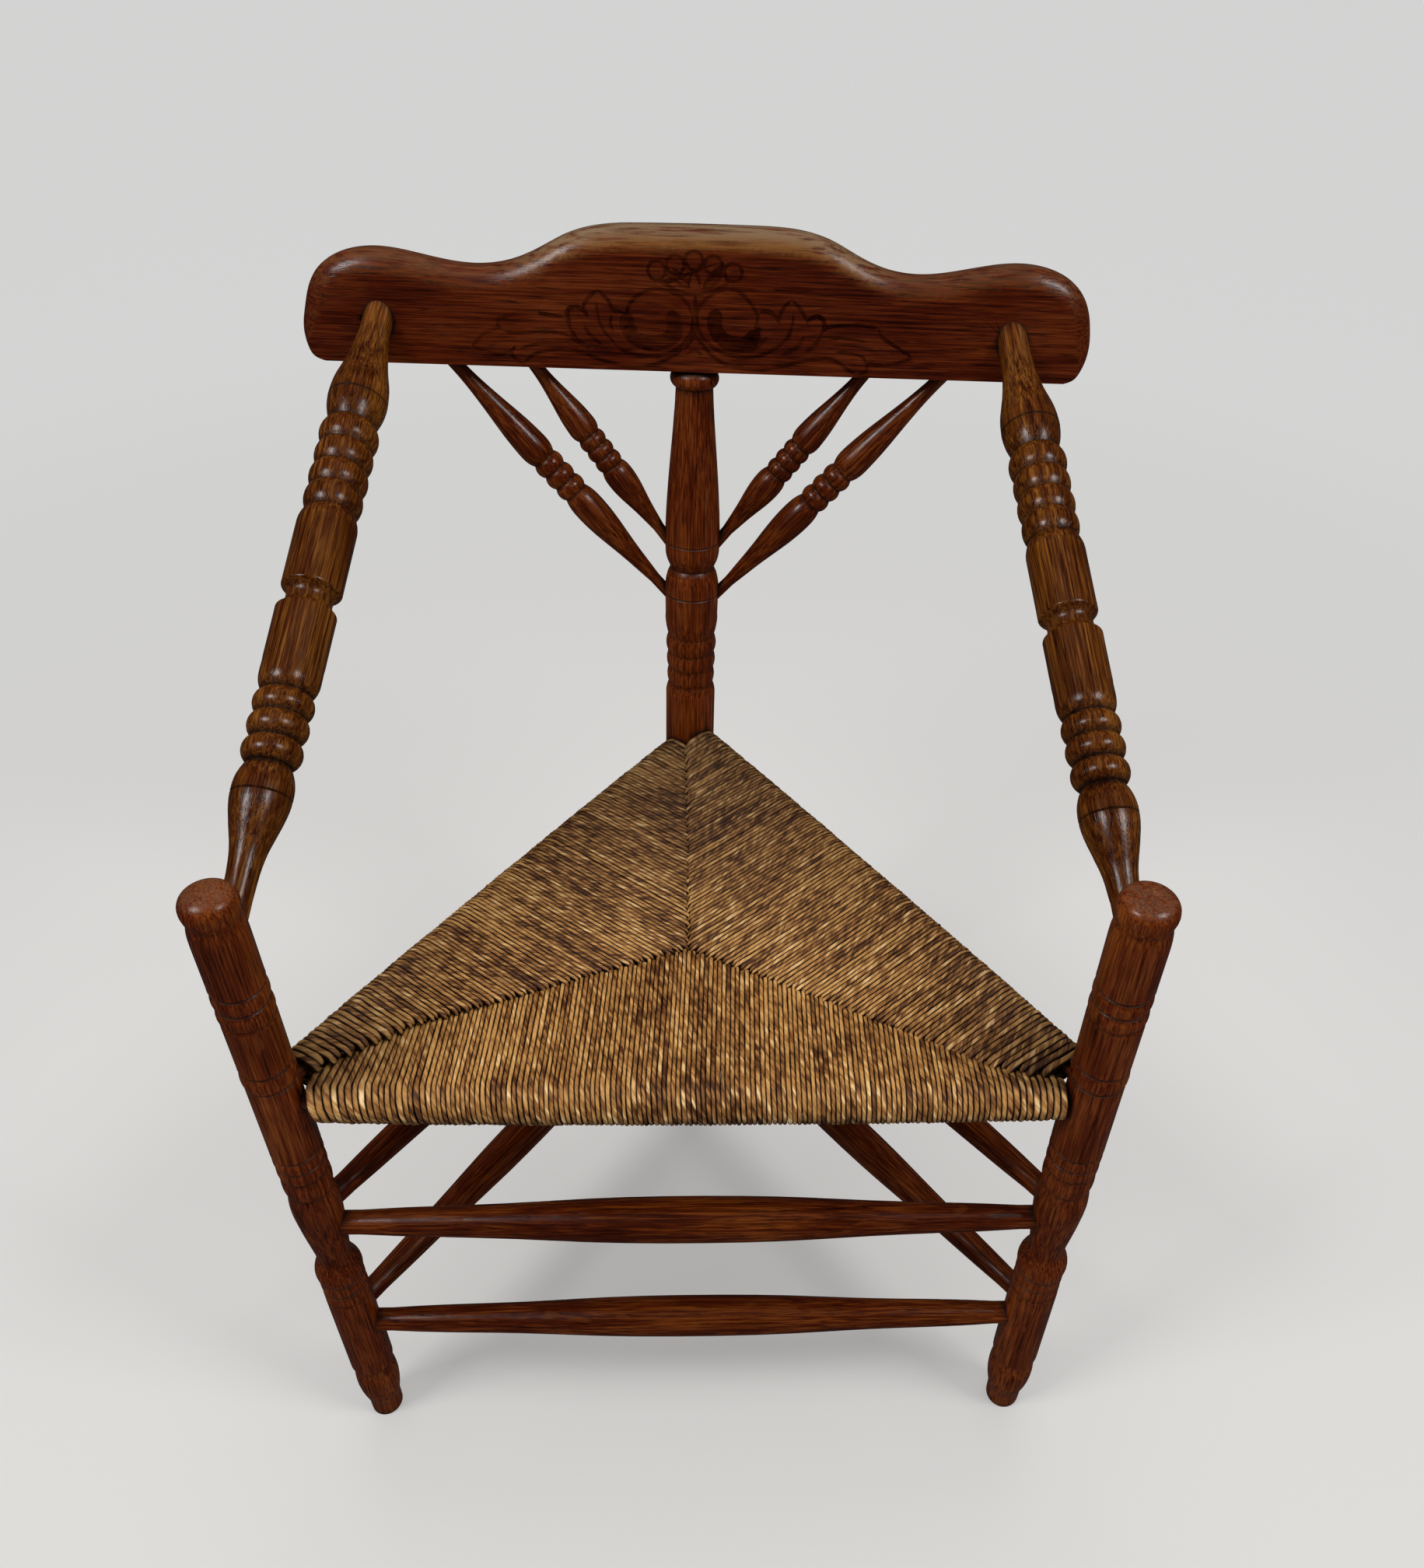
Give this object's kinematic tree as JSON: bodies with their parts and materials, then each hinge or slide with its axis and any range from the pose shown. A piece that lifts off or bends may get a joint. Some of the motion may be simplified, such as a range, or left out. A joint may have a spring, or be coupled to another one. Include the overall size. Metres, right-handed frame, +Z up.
{
  "type": "corner chair",
  "caption": "Turned oak corner chair with a triangular rush seat, beaded arms, slanting spindles and a carved crest rail",
  "frame": {"origin": "on the floor, under the middle of the overall bounding box", "axes": "+Z up, the sitter faces -Y, +X to the viewer's right when looking at the front"},
  "size_m": [0.5906, 0.4849, 0.8597],
  "materials": {
    "post_oak": "red-brown stained oak, waxed, slightly dulled",
    "crest_oak": "dark red-brown stained oak, soft gloss, top rounded and rubbed lighter",
    "arm_oak": "golden brown stained oak with dark pores, waxed and rubbed",
    "hidden_oak": "plain unstained oak",
    "rush": "twisted rush, straw coloured with browner strands, faint sheen",
    "stuffing": "dry rush packing"
  },
  "bodies": {
    "root": {"post_front_left": "post_oak", "post_front_right": "post_oak", "post_back": "post_oak", "crest_rail": "crest_oak", "arm_left": "arm_oak", "arm_right": "arm_oak", "spindle_outer_left": "arm_oak", "spindle_inner_left": "arm_oak", "spindle_inner_right": "arm_oak", "spindle_outer_right": "arm_oak", "stretcher_front_upper": "post_oak", "stretcher_front_lower": "post_oak", "stretcher_left_upper": "post_oak", "stretcher_left_lower": "post_oak", "stretcher_right_upper": "post_oak", "stretcher_right_lower": "post_oak", "seat_rail_front": "hidden_oak", "seat_rail_left": "hidden_oak", "seat_rail_right": "hidden_oak", "rush_front": "rush", "rush_left": "rush", "rush_right": "rush", "seat_stuffing": "stuffing"}
  },
  "joints": []
}
